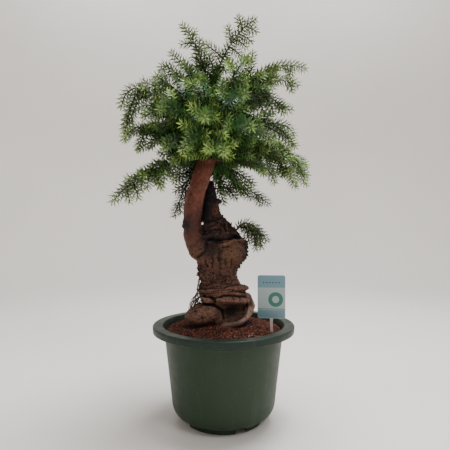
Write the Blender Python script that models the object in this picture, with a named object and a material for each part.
"""A hoop pine grown as a bonsai, in a green plastic nursery pot, with a blank plant label.

The origin is on the floor under the centre of the pot, +Z is up and -Y is the front.
Sizes are written in millimetres and become metres where a mesh is made.
"""
import math
import random

import bmesh
import bpy
import numpy as np
from mathutils import Euler, Matrix, Vector
from mathutils.bvhtree import BVHTree

MM = 0.001
GAP = 0.35
UP = Vector((0.0, 0.0, 1.0))

# Pot
POT_SIDES = 36
POT_WALL = 2.2
RIM_RADIUS = 105.0
RIM_TOP = 140.4
RIM_DROP = 10.0
RIM_INNER_RADIUS = 90.0
SHOULDER_HEIGHT = 124.0
FOOT_RADIUS = 57.5
FOOT_THICKNESS = 3.2
FLOOR_UNDERSIDE = 10.5
CORNER_TOP = 33.0
WALL_FOOT_RADIUS = 77.0
WALL_TOP_RADIUS = 87.4
CORNER_INNER_RADIUS = 64.0
NOTCH_WIDTH = 16.0
NOTCH_HEIGHT = 8.0
NOTCH_TAPER = 2.0
NOTCH_REACH = 8.0
NOTCH_TURN = math.radians(25.0)
DRAIN_RADIUS = 5.0
DRAIN_RING = 36.0
DRAIN_COUNT = 4

# Soil
SOIL_EDGE = 131.5
SOIL_CROWN = 145.5
SOIL_RINGS = (0.0, 0.3, 0.55, 0.78)
HOLE_CLEARANCE = 0.8

# Trunk
BARK_VOXEL = 2.5
TRUNK_TRIANGLES = 2200
LEADER_FOOT = Vector((-24.0, -5.0, 383.0))
LEADER_TOP = Vector((-14.0, 2.0, 468.0))
LEADER_FOOT_RADIUS = 8.5
LEADER_TOP_RADIUS = 4.0
LEADER_RINGS = 6

# The smooth red limb, cut flat at its top, as level rings: x, y, height, half width, half depth.
LIMB = ((-33, 0, 238, 14, 15), (-39.5, 0, 254, 16.2, 15), (-45.4, -1, 272, 15.4, 14),
        (-47, -4, 290, 13, 12.5), (-46, -6, 309, 13.6, 12.8), (-43.3, -8, 324, 14.2, 13),
        (-39.2, -9, 339, 13.5, 13), (-34.3, -9, 354, 14.3, 13), (-29.3, -8, 369, 14.6, 13),
        (-24.3, -7, 386, 13.3, 12.8))
# The dark dead stump that leans behind the limb.
STUMP = ((-4, 3, 252, 36, 28), (-4, 4, 262, 35, 25), (-8, 6, 272, 33, 22), (-10.5, 9, 281, 26.5, 19),
         (-13.5, 12, 291, 21.5, 16), (-19.5, 14, 305, 14.5, 13), (-22.3, 16, 325, 13.2, 11),
         (-23.5, 17, 345, 10, 8), (-22, 17, 356, 5, 5))
# The swollen middle, with a waist under it.
BULGE = ((-4, 0, 190, 29, 25), (-4.5, 0, 202, 28.5, 24), (-10, 0, 212, 26.5, 25), (-8.5, 0, 222, 29.5, 28),
         (-6, 0, 234, 35, 32), (-6, 1, 246, 38, 32), (-5, 2, 258, 36, 29))
# The foot of the trunk, down to the plug of roots in the soil.
BASE = ((-4, 0, 108, 20, 20), (-3, 0, 126, 24, 24), (-2, 2, 146, 31, 26), (0, 3, 160, 33, 26),
        (2, 1, 174, 34, 27), (1, 0, 186, 33, 27), (0, 0, 192, 29, 26))
# Swellings and rolls of wood: centre, half sizes, turn in degrees.
LUMPS = (
    ((-56.5, -5, 288), (5.5, 6, 8), (0, 0, 0)),
    ((-8, 12, 323), (4, 4, 4), (0, 0, 0)),
    ((14, 2, 274), (13, 15, 7), (0, 35, 0)),
    ((5, -14, 247), (27, 21, 20), (0, 0, 0)),
    ((-34, -4, 250), (17.5, 18, 17), (0, 0, 0)),
    ((23, 4, 250), (13, 22, 20), (0, 0, 0)),
    ((-12, 16, 240), (26, 19, 24), (0, 0, 0)),
    ((2.5, 0, 189.5), (35.5, 31, 6), (-8, 2, 0)),
    ((2.5, 2, 181), (34, 27, 5.8), (-8, -2, 0)),
    ((8, -2, 174.5), (36, 34, 8), (-8, 3, 0)),
    ((-23, -17, 177), (11, 10, 6), (0, 20, 30)),
    ((-29, -14, 157), (29, 21, 15.5), (0, -12, 20)),
    ((-18, 20, 155), (24, 19, 15), (0, -8, -25)),
    ((20, 21, 156), (22, 19, 16), (0, 10, 30)),
)
# Roots that creep out over the soil: x, y, height, radius.
ROOTS = (
    ((34, -2, 178, 9), (40, -7, 168, 7), (37.5, -16, 160, 6), (31.5, -26, 154, 6), (21, -33, 149, 6),
     (9, -34, 145, 6), (-2, -32, 141, 6)),
)

# Label
CARD_WIDTH = 39.4
CARD_HEIGHT = 61.5
CARD_THICKNESS = 0.9
CARD_CORNER = 3.0
CARD_FOOT = Vector((68.3, -31.0, 154.0))
CARD_TURN = math.radians(-5.0)
STAKE_WIDTH = 4.6
STAKE_DEPTH = 60.0

# Foliage
GOLDEN_ANGLE = math.radians(137.50776)
NEEDLE_SPACING = 4.5
NEEDLE_LENGTH = 11.0
NEEDLE_LEAN = math.radians(60.0)
BARE_SPACING = 9.0
BARE_SHARE = 0.34
TWIG_RADIUS = 1.7
SHOOT_RADIUS = 1.25
TIP_RADIUS = 0.8
SIDE_REACH = 44.0
SIDE_SHARES = (0.36, 0.58)
SHORTEST_SIDE = 14.0
SIDE_ANGLE = math.radians(48.0)
AXIS_CLEARANCE = 5.2
ROOT_CLEARANCE = 4.8
ROOT_STRAIGHT = 14.0
ROUTE_POINTS = 26
SIDE_POINTS = 9
SIDE_BARE = 5.0
TIP_BARE = 1.2
BUD_LENGTH = 4.0
ROOT_STEPS = (0.0, 0.06, 0.12)
PASS_SHARES = (0.4, 0.7)
ARCH_SHARE = 0.6
ARCH_LIFT = 14.0
SPREAD_ROUNDS = 50
SPREAD_GAP = 2.2 * AXIS_CLEARANCE
SPREAD_PUSH = 0.12
NEEDLE_CLEARANCE = 1.15
NEEDLE_FOOT_ROOM = 1.1
NEEDLE_TIP_ROOM = 0.6
CROWN_CENTRE = Vector((-17.0, -2.0, 430.0))
SEED = 17

# Sprays of the back half of the crown, by rule: turns and climbs in degrees, and the reach.
BACK_SPRAYS = 16
BACK_TURNS = (8.0, 172.0)
BACK_CLIMBS = (-26.0, 52.0)
BACK_REACH = 134.0
BACK_REACH_LOSS = 14.0
BACK_LIFT = 4.0
GOLDEN_SHARE = 0.618034

# Sprays that the front view shows: name, tip, one or two points that the arch passes if it isn't the
# usual one, and ends of their own side shoots, each with the share of the way along where it leaves.
FRONT_SPRAYS = (
    ("top_left", (-64, 10, 592), ((-27, 8, 515), (-43, 9, 560)),
     ((0.72, (-65, 8, 561)), (0.76, (-43, 6, 582)), (0.52, (-49, 4, 541)))),
    ("second_left", (-78, -15, 540), ((-44, -13, 508), (-63, -14, 527)),
     ((0.75, (-58, -14, 540)),)),
    ("third_left", (-99, 25, 526), ((-74, 15, 521),), ((0.6, (-106, 18, 508)),)),
    ("top_right", (48.5, 0, 595), ((-7, 0, 524), (20, 0, 571)),
     ((0.78, (22, 2, 600)), (0.62, (6, -4, 583)), (0.47, (-31, -8, 557)), (0.82, (49, -4, 575)),
      (0.72, (43, 6, 564)), (0.58, (29, 6, 540)))),
    ("right_arch", (132, 45, 537), ((56, 30, 524), (98, 38, 541)),
     ((0.78, (102, 38, 519)), (0.4, (60, 36, 510)))),
    ("right_second", (116, 18, 502), ((52, 11, 502), (92, 15, 509)),
     ((0.76, (104, 10, 491)), (0.4, (66, 2, 489)))),
    ("right_third", (97, -38, 450), ((44, -16, 488), (72, -29, 467)), ((0.72, (84, -41, 445)),)),
    ("right_fourth", (104, -12, 419), ((64, -8, 437),), ((0.55, (104, -24, 402)),)),
    ("right_low", (139, 74, 354), ((95, 45, 408), (122, 62, 380)), ((0.5, (141, 88, 388)),)),
    ("right_under", (114, 30, 346), ((72, 16, 395), (100, 25, 367)), ()),
    ("right_small", (74, -24, 347), ((50, -15, 376),), ()),
    ("left_low", (-143.5, -92, 316), ((-99, -48, 363), (-126, -76, 339)),
     ((0.36, (-84, -66, 337)), (0.5, (-111, -64, 334)))),
    ("left_out", (-139, -60, 447), ((-104, -40, 474),), ((0.7, (-134, -64, 410)),)),
    ("left_mid", (-140, -38, 407), ((-108, -15, 430),), ((0.6, (-130, 8, 402)),)),
    ("left_up", (-128, 6, 498), ((-96, 5, 492),), ()),
    ("left_high", (-98, -45, 492), ((-76, -35, 486),), ()),
    ("front_centre", (-22, -124, 416), (), ()),
    ("front_drooping", (-52, -104, 380), ((-32, -72, 408),), ()),
    ("front_high", (36, -66, 508), (), ()),
    ("front_right", (28, -116, 448), (), ()),
    ("front_upper", (-32, -92, 474), (), ()),
    ("front_right_low", (36, -108, 408), (), ()),
    ("front_left", (-82, -94, 434), (), ()),
    ("front_far_right", (64, -82, 396), (), ()),
    ("front_left_low", (-78, -76, 388), (), ()),
    ("front_under", (2, -92, 378), (), ()),
)

# Sprays with a place of their own on the wood: name, point inside the wood, first direction, route.
LONE_SPRAYS = (
    ("stump_shoot", (12, 2, 272), (0.7, -0.1, 0.75),
     ((24, 1, 287), (35, 0, 290), (46, 0, 284), (54, 0, 269), (56, 0, 252)),
     ((0.42, (38, -7, 261)), (0.62, (66, 5, 263)))),
    ("limb_right", (-22, 17, 342), (0.96, 0.25, 0.12),
     ((8, 24, 345), (22, 27, 345), (36, 28, 342.5), (50, 28, 335.5), (62, 28, 327), (71.5, 28, 320)),
     ((0.24, (20, 36, 329)), (0.48, (43, 34, 328)))),
    ("limb_left", (-27, -8, 374), (-0.7, 0.7, 0.1),
     ((-49, 16, 366), (-57, 20, 352), (-65, 21, 333), (-72, 20, 315), (-77, 20, 300)),
     ((0.45, (-76, 28, 339)), (0.55, (-58, 26, 318)))),
)


def metres(point):
    return Vector(point) * MM


def plain_material(name, colour, roughness):
    material = bpy.data.materials.new(name)
    material.use_nodes = True
    shader = material.node_tree.nodes["Principled BSDF"]
    shader.inputs["Base Color"].default_value = (*colour, 1.0)
    shader.inputs["Roughness"].default_value = roughness
    shader.inputs["Metallic"].default_value = 0.0
    return material


def finished(name, mesh, material):
    """An object of the scene with its own material, shaded smooth but for sharp edges."""
    thing = bpy.data.objects.new(name, mesh)
    bpy.context.scene.collection.objects.link(thing)
    mesh.materials.clear()
    mesh.materials.append(material)
    mesh.shade_smooth()
    mesh.set_sharp_from_angle(angle=math.radians(35.0))
    return thing


def mesh_from(bm, name):
    bmesh.ops.recalc_face_normals(bm, faces=bm.faces)
    mesh = bpy.data.meshes.new(name)
    bm.to_mesh(mesh)
    bm.free()
    return mesh


def evaluated_mesh(thing):
    """A plain mesh of the object with its modifiers applied."""
    bpy.context.view_layer.update()
    graph = bpy.context.evaluated_depsgraph_get()
    return bpy.data.meshes.new_from_object(thing.evaluated_get(graph))


def apply_modifiers(thing):
    mesh = evaluated_mesh(thing)
    thing.modifiers.clear()
    thing.data = mesh


def cutter_from(bm, name):
    """An object that only cuts others and isn't rendered."""
    cutter = bpy.data.objects.new(name, mesh_from(bm, name))
    bpy.context.scene.collection.objects.link(cutter)
    cutter.hide_render = True
    cutter.display_type = "WIRE"
    return cutter


def cut(thing, cutter, solver="EXACT"):
    """Takes the cutter's shape out of the thing, and removes the cutter."""
    modifier = thing.modifiers.new("cut", "BOOLEAN")
    modifier.operation = "DIFFERENCE"
    modifier.object = cutter
    modifier.solver = solver
    apply_modifiers(thing)
    bpy.data.objects.remove(cutter, do_unlink=True)


def lathe(bm, profile, sides):
    """Turns a closed outline of (radius, height) points round the Z axis."""
    rings = []
    for radius, height in profile:
        if radius == 0.0:
            rings.append([bm.verts.new(metres((0.0, 0.0, height)))])
            continue
        ring = []
        for side in range(sides):
            turn = 2.0 * math.pi * side / sides
            point = (radius * math.cos(turn), radius * math.sin(turn), height)
            ring.append(bm.verts.new(metres(point)))
        rings.append(ring)
    return rings


def bridge(bm, lower, upper):
    """Faces between two rings, either of which may be a single point."""
    count = max(len(lower), len(upper))
    for side in range(count):
        after = (side + 1) % count
        if len(lower) == 1:
            bm.faces.new((lower[0], upper[side], upper[after]))
        elif len(upper) == 1:
            bm.faces.new((lower[side], lower[after], upper[0]))
        else:
            bm.faces.new((lower[side], lower[after], upper[after], upper[side]))


def wall_radius(height):
    """Outside radius of the pot's wall, over its rounded lower corner."""
    if height < CORNER_TOP:
        rise = (CORNER_TOP - height) / (CORNER_TOP - FLOOR_UNDERSIDE)
        swell = math.sqrt(max(0.0, 1.0 - rise * rise))
        return CORNER_INNER_RADIUS + (WALL_FOOT_RADIUS - CORNER_INNER_RADIUS) * swell
    share = (height - CORNER_TOP) / (SHOULDER_HEIGHT - CORNER_TOP)
    return WALL_FOOT_RADIUS + (WALL_TOP_RADIUS - WALL_FOOT_RADIUS) * share


def inner_heights():
    """Heights at which the inside of the wall and the side of the soil have a ring."""
    floor_top = FLOOR_UNDERSIDE + POT_WALL
    return (floor_top, floor_top + 4.5, CORNER_TOP + 3.0, SHOULDER_HEIGHT - 3.0)


def inner_radius(height):
    floor_top = FLOOR_UNDERSIDE + POT_WALL
    return wall_radius(max(height - POT_WALL * (height < CORNER_TOP), floor_top - POT_WALL)) - POT_WALL


def pot_profile():
    """Closed outline of the pot, from the middle drain hole out, over the rim and back inside."""
    floor_top = FLOOR_UNDERSIDE + POT_WALL
    points = [(DRAIN_RADIUS, FLOOR_UNDERSIDE), (FOOT_RADIUS - FOOT_THICKNESS, FLOOR_UNDERSIDE)]
    points += [(FOOT_RADIUS - FOOT_THICKNESS, 0.0), (FOOT_RADIUS, 0.0)]
    points += [(FOOT_RADIUS + 0.8, FLOOR_UNDERSIDE)]
    points += [(wall_radius(height), height) for height in (FLOOR_UNDERSIDE + 0.1, 14.0, 21.0)]
    points += [(wall_radius(CORNER_TOP), CORNER_TOP), (WALL_TOP_RADIUS, SHOULDER_HEIGHT)]
    rim_foot = RIM_TOP - RIM_DROP
    points += [(WALL_TOP_RADIUS + 1.8, SHOULDER_HEIGHT + 1.5), (RIM_INNER_RADIUS + 2.0, RIM_TOP - 2.6)]
    points += [(RIM_RADIUS - 2.4, RIM_TOP - 2.6), (RIM_RADIUS - 2.4, rim_foot)]
    points += [(RIM_RADIUS - 0.4, rim_foot), (RIM_RADIUS, RIM_TOP - 2.0), (RIM_RADIUS - 1.8, RIM_TOP)]
    points += [(RIM_INNER_RADIUS + 1.0, RIM_TOP), (RIM_INNER_RADIUS, RIM_TOP - 1.0)]
    points += [(inner_radius(height), height) for height in reversed(inner_heights())]
    points += [(DRAIN_RADIUS, floor_top)]
    return points


def make_pot():
    bm = bmesh.new()
    rings = lathe(bm, pot_profile(), POT_SIDES)
    for index, ring in enumerate(rings):
        bridge(bm, ring, rings[(index + 1) % len(rings)])
    colour = (0.045, 0.072, 0.05)
    pot = finished("pot", mesh_from(bm, "pot"), plain_material("pot_plastic", colour, 0.42))
    cut(pot, pot_cutter())
    return pot


def pot_cutter():
    """The four notches of the foot ring and the round drain holes, as one cutter."""
    bm = bmesh.new()
    middle = FOOT_RADIUS - FOOT_THICKNESS / 2.0
    for quarter in range(4):
        turn = Matrix.Rotation(NOTCH_TURN + quarter * math.pi / 2.0, 4, "Z")
        corners = []
        for radius in (middle - NOTCH_REACH, middle + NOTCH_REACH):
            for across, height in ((-1, -3.0), (1, -3.0), (1, NOTCH_HEIGHT), (-1, NOTCH_HEIGHT)):
                half = NOTCH_WIDTH / 2.0 + (NOTCH_TAPER if height < 0.0 else -NOTCH_TAPER)
                corners.append(bm.verts.new(turn @ metres((across * half, -radius, height))))
        near, far = corners[:4], corners[4:]
        bm.faces.new(near)
        bm.faces.new(tuple(reversed(far)))
        bridge(bm, near, far)
    for hole in range(DRAIN_COUNT):
        angle = 2.0 * math.pi * hole / DRAIN_COUNT
        centre = (DRAIN_RING * math.cos(angle), DRAIN_RING * math.sin(angle), FLOOR_UNDERSIDE)
        place = Matrix.Translation(metres(centre))
        bmesh.ops.create_cone(bm, cap_ends=True, segments=8, radius1=DRAIN_RADIUS * MM,
                              radius2=DRAIN_RADIUS * MM, depth=8.0 * MM, matrix=place)
    return cutter_from(bm, "pot_cutter")


def soil_height(x, y):
    """Height of the soil's surface: a low mound with soft bumps."""
    share = min(1.0, math.hypot(x, y) / (RIM_INNER_RADIUS - 3.0))
    bumps = 0.7 * math.sin(x * 0.11 + 1.0) * math.cos(y * 0.13) * (1.0 - share ** 4)
    return SOIL_EDGE + (SOIL_CROWN - SOIL_EDGE) * (1.0 - share ** 1.8) + bumps


def make_soil(trunk, stake):
    """Soil that fills the pot, with holes where the trunk and the label's stake stand."""
    bm = bmesh.new()
    profile = [(0.0, FLOOR_UNDERSIDE + POT_WALL + GAP)]
    for height in inner_heights():
        profile.append((inner_radius(height) - GAP, height + GAP))
    edge_radius = inner_radius(SHOULDER_HEIGHT - 3.0) - GAP
    profile.append((edge_radius, SOIL_EDGE))
    for share in reversed(SOIL_RINGS):
        profile.append((edge_radius * share, SOIL_EDGE + 1.0))
    rings = lathe(bm, profile, POT_SIDES)
    for ring in rings[-len(SOIL_RINGS):]:
        for vertex in ring:
            vertex.co.z = soil_height(vertex.co.x / MM, vertex.co.y / MM) * MM
    for lower, upper in zip(rings, rings[1:]):
        bridge(bm, lower, upper)
    colour = (0.075, 0.032, 0.02)
    soil = finished("soil", mesh_from(bm, "soil"), plain_material("bark_mix", colour, 0.95))
    cut(soil, grown_copy(trunk), "MANIFOLD")
    cut(soil, grown_copy(stake))
    return soil


def grown_copy(thing):
    """A cutter of the thing's shape, a little larger all round."""
    bm = bmesh.new()
    bm.from_mesh(thing.data)
    bm.normal_update()
    places = [vertex.co + vertex.normal * HOLE_CLEARANCE * MM for vertex in bm.verts]
    for vertex, place in zip(bm.verts, places):
        vertex.co = place
    return cutter_from(bm, thing.name + "_cutter")


def tube(bm, stations, sides=14):
    """A closed limb through level rings of (x, y, height, half width, half depth)."""
    rings = []
    for x, y, height, wide, deep in stations:
        ring = []
        for side in range(sides):
            turn = 2.0 * math.pi * side / sides
            point = (x + wide * math.cos(turn), y + deep * math.sin(turn), height)
            ring.append(bm.verts.new(metres(point)))
        rings.append(ring)
    for lower, upper in zip(rings, rings[1:]):
        bridge(bm, lower, upper)
    bm.faces.new(tuple(reversed(rings[0])))
    bm.faces.new(rings[-1])


def lump(bm, centre, radii, turn=(0.0, 0.0, 0.0)):
    """A squashed ball of wood, turned by angles in degrees."""
    spin = Euler([math.radians(angle) for angle in turn]).to_matrix().to_4x4()
    place = Matrix.Translation(metres(centre)) @ spin @ Matrix.Diagonal((*metres(radii), 1.0))
    bmesh.ops.create_uvsphere(bm, u_segments=18, v_segments=12, radius=1.0, matrix=place)


def chain(bm, stations):
    """A creeping root as balls set close together between (x, y, height, radius) stations."""
    for (*start, first), (*end, last) in zip(stations, stations[1:]):
        start, end = Vector(start), Vector(end)
        balls = math.ceil((end - start).length / (0.4 * min(first, last)))
        for number in range(balls):
            share = number / balls
            radius = first + (last - first) * share
            lump(bm, start.lerp(end, share), (radius, radius, radius))


def leader_rings():
    """The young leader that grew on from the cut, hidden in the crown."""
    stations = []
    for step in range(LEADER_RINGS):
        share = step / (LEADER_RINGS - 1)
        place = LEADER_FOOT.lerp(LEADER_TOP, share)
        radius = LEADER_FOOT_RADIUS + (LEADER_TOP_RADIUS - LEADER_FOOT_RADIUS) * share
        stations.append((place.x, place.y, place.z, radius, radius))
    return stations


def make_trunk():
    """The whole grown wood as one skin, remeshed over its limbs, lumps and rolls."""
    bm = bmesh.new()
    for stations in (LIMB, leader_rings(), STUMP, BULGE, BASE):
        tube(bm, stations)
    for centre, radii, turn in LUMPS:
        lump(bm, centre, radii, turn)
    for stations in ROOTS:
        chain(bm, stations)
    colour = (0.13, 0.062, 0.038)
    trunk = finished("trunk", mesh_from(bm, "trunk"), plain_material("bark", colour, 0.85))
    skin = trunk.modifiers.new("skin", "REMESH")
    skin.mode = "VOXEL"
    skin.voxel_size = BARK_VOXEL * MM
    soften = trunk.modifiers.new("soften", "SMOOTH")
    soften.factor = 0.5
    soften.iterations = 2
    apply_modifiers(trunk)
    triangles = sum(len(face.vertices) - 2 for face in trunk.data.polygons)
    thin = trunk.modifiers.new("thin", "DECIMATE")
    thin.ratio = TRUNK_TRIANGLES / triangles
    apply_modifiers(trunk)
    return trunk


def make_label():
    """A blank plant label: a rounded card with its tapered stake, in one piece."""
    bm = bmesh.new()
    half = CARD_WIDTH / 2.0
    outline = [(-STAKE_WIDTH / 2.0, 0.0), (-STAKE_WIDTH / 4.0, -STAKE_DEPTH), (0.0, -STAKE_DEPTH - 4.0),
               (STAKE_WIDTH / 4.0, -STAKE_DEPTH), (STAKE_WIDTH / 2.0, 0.0)]
    for corner, start in ((0, -90), (1, 0), (2, 90), (3, 180)):
        across = half - CARD_CORNER if corner in (0, 1) else CARD_CORNER - half
        height = CARD_CORNER if corner in (0, 3) else CARD_HEIGHT - CARD_CORNER
        for step in range(4):
            turn = math.radians(start + 30.0 * step)
            corner_x = across + CARD_CORNER * math.cos(turn)
            outline.append((corner_x, height + CARD_CORNER * math.sin(turn)))
    front = [bm.verts.new(metres((x, -CARD_THICKNESS / 2.0, z))) for x, z in outline]
    face = bm.faces.new(front)
    pushed = bmesh.ops.extrude_face_region(bm, geom=[face])
    moved = [item for item in pushed["geom"] if isinstance(item, bmesh.types.BMVert)]
    bmesh.ops.translate(bm, verts=moved, vec=metres((0.0, CARD_THICKNESS, 0.0)))
    place = Matrix.Translation(metres(CARD_FOOT)) @ Matrix.Rotation(CARD_TURN, 4, "Z")
    bmesh.ops.transform(bm, matrix=place, verts=bm.verts)
    colour = (0.55, 0.68, 0.72)
    return finished("plant_label", mesh_from(bm, "plant_label"), plain_material("label", colour, 0.4))


class Shoot:
    """One leafy axis: its route, its thickness and the length at its foot that has no needles."""

    def __init__(self, spray, number, points, radius, bare):
        self.spray = spray
        self.number = number
        self.points = points
        self.radius = radius
        self.bare = bare

    def length(self):
        return sum((b - a).length for a, b in zip(self.points, self.points[1:]))

    def segments(self):
        return [(a, b) for a, b in zip(self.points, self.points[1:])]


def bezier(start, first, second, end, count):
    points = []
    for step in range(count):
        t = step / (count - 1)
        u = 1.0 - t
        inner = first * 3.0 * u * u * t + second * 3.0 * u * t * t
        points.append(start * u ** 3 + inner + end * t ** 3)
    return points


def pull(root, point, tip, t):
    """What a curve's two inner handles must bring at t for it to pass a point, and their weights."""
    u = 1.0 - t
    return point - root * u ** 3 - tip * t ** 3, 3.0 * u * u * t, 3.0 * u * t * t


def arch(root, direction, passes, tip):
    """A route to the tip that passes two points, or else sets out in a direction and passes one."""
    if len(passes) == 2:
        early, late = (Vector(point) for point in passes)
        early, a, b = pull(root, early, tip, PASS_SHARES[0])
        late, c, d = pull(root, late, tip, PASS_SHARES[1])
        first = (early * d - late * b) / (a * d - b * c)
        second = (late * a - early * c) / (a * d - b * c)
    else:
        middle = Vector(passes[0]) if passes else root.lerp(tip, ARCH_SHARE) + UP * ARCH_LIFT
        steepness = max(0.0, (tip - root).normalized().z)
        first = root + direction * (tip - root).length * (0.34 - 0.2 * steepness)
        middle, a, b = pull(root, middle, tip, ARCH_SHARE)
        second = (middle - first * a) / b
    return bezier(root, first, second, tip, ROUTE_POINTS)


def smooth_route(points, count):
    """Points evenly spaced in number on a smooth curve through the given ones."""
    ends = [points[0] * 2.0 - points[1], *points, points[-1] * 2.0 - points[-2]]
    spans = len(points) - 1
    route = []
    for step in range(count):
        place = step / (count - 1) * spans
        span = min(int(place), spans - 1)
        t = place - span
        a, b, c, d = ends[span:span + 4]
        route.append(0.5 * (2.0 * b + (c - a) * t + (2.0 * a - 5.0 * b + 4.0 * c - d) * t * t
                            + (3.0 * b - a - 3.0 * c + d) * t ** 3))
    return route


def root_on(wood, inside, direction, radius):
    """Where a shoot's flat root ring, going out from inside the wood, just clears the bark."""
    reach = 60.0
    across = direction.orthogonal().normalized()
    furthest = 0.0
    for spoke in range(7):
        rim = inside.copy()
        if spoke:
            rim += Matrix.Rotation(spoke * math.pi / 3.0, 3, direction) @ across * radius
        hit = wood.ray_cast(metres(rim + direction * reach), -direction, reach * MM)
        if hit[0] is not None:
            furthest = max(furthest, reach - hit[3] / MM)
    return inside + direction * (furthest + GAP)


def first_direction(inside, tip):
    """Outward from the leader, and up no more steeply than a side branch can leave it."""
    flat = Vector((tip.x - inside.x, tip.y - inside.y, 0.0)).normalized()
    rise = (tip - inside).normalized().z
    return (flat + UP * min(0.95, max(-0.25, rise))).normalized()


def between(ends, share):
    return ends[0] + (ends[1] - ends[0]) * share


def crown_tips():
    """Every spray that grows on the leader: name, tip, points of its arch and own side shoots."""
    draw = random.Random(SEED)
    sprays = [(name, Vector(tip), passes, sides) for name, tip, passes, sides in FRONT_SPRAYS]
    for number in range(BACK_SPRAYS):
        turn = math.radians(between(BACK_TURNS, (number * GOLDEN_SHARE) % 1.0))
        climb = math.radians(between(BACK_CLIMBS, (number + 0.5) / BACK_SPRAYS))
        reach = BACK_REACH - BACK_REACH_LOSS * draw.random()
        flat = reach * math.cos(climb)
        offset = (flat * math.cos(turn), flat * math.sin(turn), reach * math.sin(climb) + BACK_LIFT)
        sprays.append((f"back_{number + 1:02d}", CROWN_CENTRE + Vector(offset), (), ()))
    return sorted(sprays, key=lambda spray: (spray[1] - CROWN_CENTRE).normalized().z)


def leader_root(wood, tip, wanted, taken):
    """Root and first direction on the leader, near the wanted height and clear of other roots."""
    best = None
    for nudge in (0.0, 0.03, -0.03, 0.06, -0.06, 0.09, -0.09, 0.12, -0.12):
        inside = LEADER_FOOT.lerp(LEADER_TOP, min(0.94, max(0.04, wanted + nudge)))
        direction = first_direction(inside, tip)
        root = root_on(wood, inside, direction, TWIG_RADIUS + 0.3)
        gap = ROOT_CLEARANCE
        if taken:
            starts = np.array([tuple(other) for other, _ in taken])
            ends = np.array([tuple(other + way * ROOT_STRAIGHT) for other, way in taken])
            end = root + direction * ROOT_STRAIGHT
            gap = gaps_to(np.array(root), np.array(end), starts, ends).min()
        if best is None or gap > best[0]:
            best = (gap, root, direction)
        if gap >= ROOT_CLEARANCE:
            break
    return best[1], best[2]


def leader_shoots(wood):
    """Main shoots on the leader, the low ones lowest, each out and over in an arch to its tip."""
    sprays = crown_tips()
    shoots = []
    taken = []
    for order, (name, tip, passes, sides) in enumerate(sprays):
        root, direction = leader_root(wood, tip, 0.05 + 0.88 * order / (len(sprays) - 1), taken)
        taken.append((root, direction))
        points = arch(root, direction, passes, tip)
        points[1] = root + direction * (points[1] - root).length
        shoots.append((name, points, sides))
    return shoots


def lone_shoots(wood):
    """Main shoots that sprout from the old wood."""
    shoots = []
    for name, inside, direction, route, sides in LONE_SPRAYS:
        direction = Vector(direction).normalized()
        root = root_on(wood, Vector(inside), direction, TWIG_RADIUS + 0.3)
        route = [root, root + direction * ROOT_STRAIGHT * 0.5, *[Vector(point) for point in route]]
        points = smooth_route(route, ROUTE_POINTS)
        points[1] = root + direction * (points[1] - root).length
        shoots.append((name, points, sides))
    return shoots


def spread_apart(shoots):
    """Bends main shoots clear of each other, with their roots and tips kept."""
    count = ROUTE_POINTS
    places = np.array([[tuple(point) for point in points] for _, points, _ in shoots])
    owner = np.repeat(np.arange(len(shoots)), count)
    weight = np.sin(np.pi * np.arange(count) / (count - 1))
    weight[:3] = 0.0
    weights = np.tile(weight, len(shoots))[:, None]
    rest = places.copy()
    for _ in range(SPREAD_ROUNDS):
        flat = places.reshape(-1, 3)
        apart = flat[:, None, :] - flat[None, :, :]
        distance = np.sqrt((apart ** 2).sum(axis=2)) + 1e-6
        near = (distance < SPREAD_GAP) & (owner[:, None] != owner[None, :])
        push = np.where(near, (SPREAD_GAP - distance) * SPREAD_PUSH, 0.0)
        moved = flat + weights * (apart / distance[..., None] * push[..., None]).sum(axis=1)
        bends = moved.reshape(places.shape) - rest
        smooth = (bends[:, :-2] + bends[:, 2:]) * 0.25 + bends[:, 1:-1] * 0.5
        bends[:, 2:-1] = smooth[:, 1:]
        places = rest + bends
    return [[Vector(point) for point in row] for row in places.tolist()]


def gaps_to(start, end, starts, ends):
    """Least distance between one segment and each of many."""
    along = end - start
    across = ends - starts
    offset = start - starts
    a = along @ along
    e = (across ** 2).sum(axis=1) + 1e-9
    f = (across * offset).sum(axis=1)
    c = offset @ along
    b = across @ along
    spread = a * e - b * b
    s = np.where(spread > 1e-9, np.clip((b * f - c * e) / np.maximum(spread, 1e-9), 0.0, 1.0), 0.0)
    t = (b * s + f) / e
    s = np.where(t < 0.0, np.clip(-c / a, 0.0, 1.0), s)
    s = np.where(t > 1.0, np.clip((b - c) / a, 0.0, 1.0), s)
    t = np.clip(t, 0.0, 1.0)
    nearest = (start + along * s[:, None]) - (starts + across * t[:, None])
    return np.sqrt((nearest ** 2).sum(axis=1))


class Room:
    """The space that the shoots have taken so far, as segments with a thickness."""

    def __init__(self):
        self.starts = []
        self.ends = []
        self.shoots = []
        self.radii = []

    def add(self, start, end, shoot, radius):
        self.starts.append(tuple(start))
        self.ends.append(tuple(end))
        self.shoots.append(shoot)
        self.radii.append(radius)

    def by_spray(self):
        """The segments as arrays, owned by their sprays."""
        return self.arrays([shoot.spray for shoot in self.shoots])

    def by_shoot(self):
        """The segments as arrays, owned by their single shoots."""
        return self.arrays([shoot.number for shoot in self.shoots])

    def arrays(self, owners):
        return np.array(self.starts), np.array(self.ends), np.array(owners), np.array(self.radii)


def is_clear(taken, start, end, owner, radius):
    """Whether a segment keeps its radius clear of all that others own."""
    starts, ends, owners, radii = taken
    other = owners != owner
    gaps = gaps_to(np.array(start), np.array(end), starts[other], ends[other])
    return bool((gaps - radii[other]).min() > radius)


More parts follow.
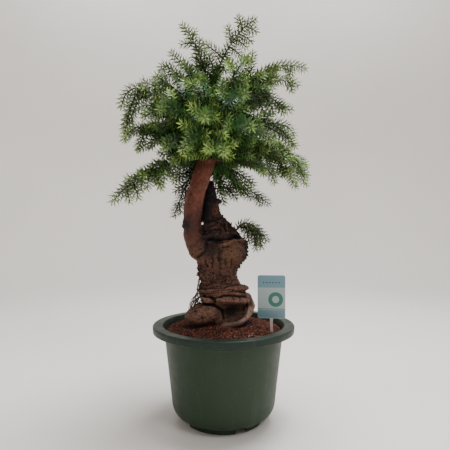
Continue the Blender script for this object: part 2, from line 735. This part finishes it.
def side_shoot(main, number, share, end):
    """A curved side shoot that leaves its main shoot at a share of its length."""
    place = share * (len(main.points) - 1)
    index = min(int(place), len(main.points) - 2)
    root = main.points[index].lerp(main.points[index + 1], place - index)
    forward = (main.points[index + 1] - main.points[index]).normalized()
    span = (end - root).length
    sideways = (end - root).normalized()
    leaving = (sideways * 1.2 + forward * 0.4).normalized()
    first = root + leaving * span * 0.4
    second = root.lerp(end, 0.7) + UP * span * 0.05
    points = bezier(root - leaving * 0.7, first, second, end, SIDE_POINTS)
    return Shoot(main.spray, number, points, SHOOT_RADIUS, SIDE_BARE)


def ruled_ends(main, draw):
    """Ends of the side shoots that a spray has by rule, to both sides and drooping a little."""
    length = main.length()
    ends = []
    for order, share in enumerate(SIDE_SHARES):
        index = int(share * (len(main.points) - 1))
        root = main.points[index]
        forward = (main.points[index + 1] - main.points[index]).normalized()
        outward = forward.cross(UP).normalized() * (1 if order % 2 else -1)
        turn = Matrix.Rotation(math.radians(draw.uniform(-35.0, 35.0)), 3, forward)
        direction = forward * math.cos(SIDE_ANGLE) + turn @ outward * math.sin(SIDE_ANGLE)
        reach = SIDE_REACH * (1.3 - share) * min(1.0, length / 110.0) * draw.uniform(0.8, 1.1)
        ends.append((share, root + direction * reach - UP * reach * 0.08))
    return ends


def plan_foliage(wood):
    """Every shoot of every spray, with the side shoots that have room for themselves."""
    rows = leader_shoots(wood) + lone_shoots(wood)
    routes = spread_apart(rows)
    room = Room()
    sprays = []
    for number, ((name, _, sides), points) in enumerate(zip(rows, routes)):
        main = Shoot(number, number, points, TWIG_RADIUS, 0.0)
        main.bare = max(6.0, main.length() * BARE_SHARE)
        sprays.append((name, [main], sides))
        for start, end in main.segments()[1:]:
            room.add(start, end, main, 0.0)
    draw = random.Random(SEED)
    number = len(sprays)
    for name, shoots, sides in sprays:
        main = shoots[0]
        wanted = [(share, Vector(end)) for share, end in sides]
        wanted += ruled_ends(main, draw)[:max(0, len(SIDE_SHARES) - len(wanted))]
        for share, end in wanted:
            side = side_shoot(main, number, share, end)
            taken = room.by_spray()
            kept = [side.points[0]]
            for start, stop in side.segments():
                if not is_clear(taken, start, stop, main.spray, AXIS_CLEARANCE):
                    break
                kept.append(stop)
            side.points = kept
            if side.length() < SHORTEST_SIDE:
                continue
            number += 1
            shoots.append(side)
            for start, stop in side.segments():
                room.add(start, stop, side, 0.0)
    return [(name, shoots) for name, shoots, _ in sprays], room


def route_frames(points, stations):
    """Centre, forward, side and over directions at lengths along a route."""
    lengths = [0.0]
    for a, b in zip(points, points[1:]):
        lengths.append(lengths[-1] + (b - a).length)
    forward = (points[1] - points[0]).normalized()
    side = forward.orthogonal().normalized()
    frames = []
    index = 0
    for station in stations:
        while index < len(points) - 2 and station > lengths[index + 1]:
            index += 1
        share = (station - lengths[index]) / (lengths[index + 1] - lengths[index])
        heading = (points[index + 1] - points[index]).normalized()
        if index + 2 < len(points):
            after = (points[index + 2] - points[index + 1]).normalized()
            heading = heading.lerp(after, min(1.0, share) * 0.5).normalized()
        side = (side - heading * side.dot(heading)).normalized()
        centre = points[index] + (points[index + 1] - points[index]) * share
        frames.append((centre, heading, side, heading.cross(side)))
    return frames


def shoot_points(shoot, phase):
    """Spiral of skin points round a shoot, with the number of the first that carries a needle."""
    length = shoot.length()
    stations = list(ROOT_STEPS)
    while stations[-1] + BARE_SPACING < shoot.bare:
        stations.append(stations[-1] + BARE_SPACING)
    first_needle = len(stations)
    foot = stations[-1]
    leafy = length - TIP_BARE - foot
    needles = max(3, round(leafy / NEEDLE_SPACING))
    for number in range(1, needles + 1):
        stations.append(foot + leafy * number / needles)
    frames = route_frames(shoot.points, stations)
    skin = []
    for number, (centre, _, side, over) in enumerate(frames):
        radius = shoot.radius + (TIP_RADIUS - shoot.radius) * stations[number] / length
        turn = phase + number * GOLDEN_ANGLE
        skin.append(centre + (side * math.cos(turn) + over * math.sin(turn)) * radius)
    return skin, frames, first_needle - 2


def needle_parts(skin, frames, number, size):
    """Base corner of the needle that is neither skin point, and the needle's tip."""
    a, b, c = skin[number], skin[number + 1], skin[number + 3]
    inner = a * 0.36 + b * 0.36 + c * 0.28
    foot = (a + b) * 0.5
    centre = (frames[number][0] + frames[number + 1][0]) * 0.5
    heading = frames[number + 1][1]
    outward = (foot - centre).normalized()
    tip = foot + (heading * math.cos(NEEDLE_LEAN) + outward * math.sin(NEEDLE_LEAN)) * size
    return inner, foot, tip


def needle_sizes(sprays, room):
    """Length of each needle, cut back or left out where other wood or needles are near."""
    room.radii = [TWIG_RADIUS + 0.3] * len(room.radii)
    skins = {}
    sizes = {}
    for _, shoots in sprays:
        for order, shoot in enumerate(shoots):
            skin, frames, first = shoot_points(shoot, order * GOLDEN_ANGLE)
            skins[shoot.number] = (skin, frames)
            taken = room.by_shoot()
            for number in range(first, len(skin) - 3):
                for share in (1.0, 0.75, 0.5):
                    _, foot, tip = needle_parts(skin, frames, number, NEEDLE_LENGTH * share)
                    if is_clear(taken, foot, tip, shoot.number, NEEDLE_CLEARANCE):
                        sizes[shoot.number, number] = NEEDLE_LENGTH * share
                        middle = foot.lerp(tip, 0.5)
                        room.add(foot, middle, shoot, NEEDLE_FOOT_ROOM)
                        room.add(middle, tip, shoot, NEEDLE_TIP_ROOM)
                        break
    return skins, sizes


def shoot_mesh(name, skin, frames, sizes):
    """Closed skin of a shoot, a spiral of triangles with a needle raised on every upper one."""
    bm = bmesh.new()
    verts = [bm.verts.new(metres(point)) for point in skin]
    last = len(skin) - 1
    bm.faces.new((verts[0], verts[2], verts[1]))
    for number in range(last - 2):
        a, b, c, d = verts[number:number + 4]
        bm.faces.new((a, d, c))
        size = sizes.get(number, 0.0)
        if size == 0.0:
            bm.faces.new((a, b, d))
            continue
        inner, _, tip = needle_parts(skin, frames, number, size)
        inner_vert = bm.verts.new(metres(inner))
        tip_vert = bm.verts.new(metres(tip))
        bm.faces.new((b, d, inner_vert))
        bm.faces.new((d, a, inner_vert))
        bm.faces.new((a, b, tip_vert))
        bm.faces.new((b, inner_vert, tip_vert))
        bm.faces.new((inner_vert, a, tip_vert))
    centre, heading = frames[-1][0], frames[-1][1]
    bud = bm.verts.new(metres(centre + heading * BUD_LENGTH))
    for a, b in ((last - 2, last - 1), (last - 1, last), (last, last - 2)):
        bm.faces.new((verts[a], verts[b], bud))
    return mesh_from(bm, name)


def make_spray(name, shoots, skins, sizes, material):
    """A twig with its side shoots and needles, joined in one solid."""
    helpers = bpy.data.collections.new(name + "_shoots")
    meshes = []
    for shoot in shoots:
        skin, frames = skins[shoot.number]
        own = {number: size for (owner, number), size in sizes.items() if owner == shoot.number}
        meshes.append(shoot_mesh(name, skin, frames, own))
    spray = finished("spray_" + name, meshes[0], material)
    for order, mesh in enumerate(meshes[1:]):
        helpers.objects.link(bpy.data.objects.new(f"{name}_shoot_{order}", mesh))
    if helpers.objects:
        bpy.context.scene.collection.children.link(helpers)
        union = spray.modifiers.new("join", "BOOLEAN")
        union.operation = "UNION"
        union.operand_type = "COLLECTION"
        union.collection = helpers
        union.solver = "MANIFOLD"
        apply_modifiers(spray)
    for part in list(helpers.objects):
        bpy.data.objects.remove(part, do_unlink=True)
    bpy.data.collections.remove(helpers)


def make_foliage(trunk):
    wood = BVHTree.FromObject(trunk, bpy.context.evaluated_depsgraph_get())
    sprays, room = plan_foliage(wood)
    skins, sizes = needle_sizes(sprays, room)
    material = plain_material("needles", (0.06, 0.17, 0.03), 0.6)
    for name, shoots in sprays:
        make_spray(name, shoots, skins, sizes, material)


def main():
    for thing in list(bpy.data.objects):
        bpy.data.objects.remove(thing, do_unlink=True)
    make_pot()
    trunk = make_trunk()
    label = make_label()
    make_soil(trunk, label)
    make_foliage(trunk)


main()
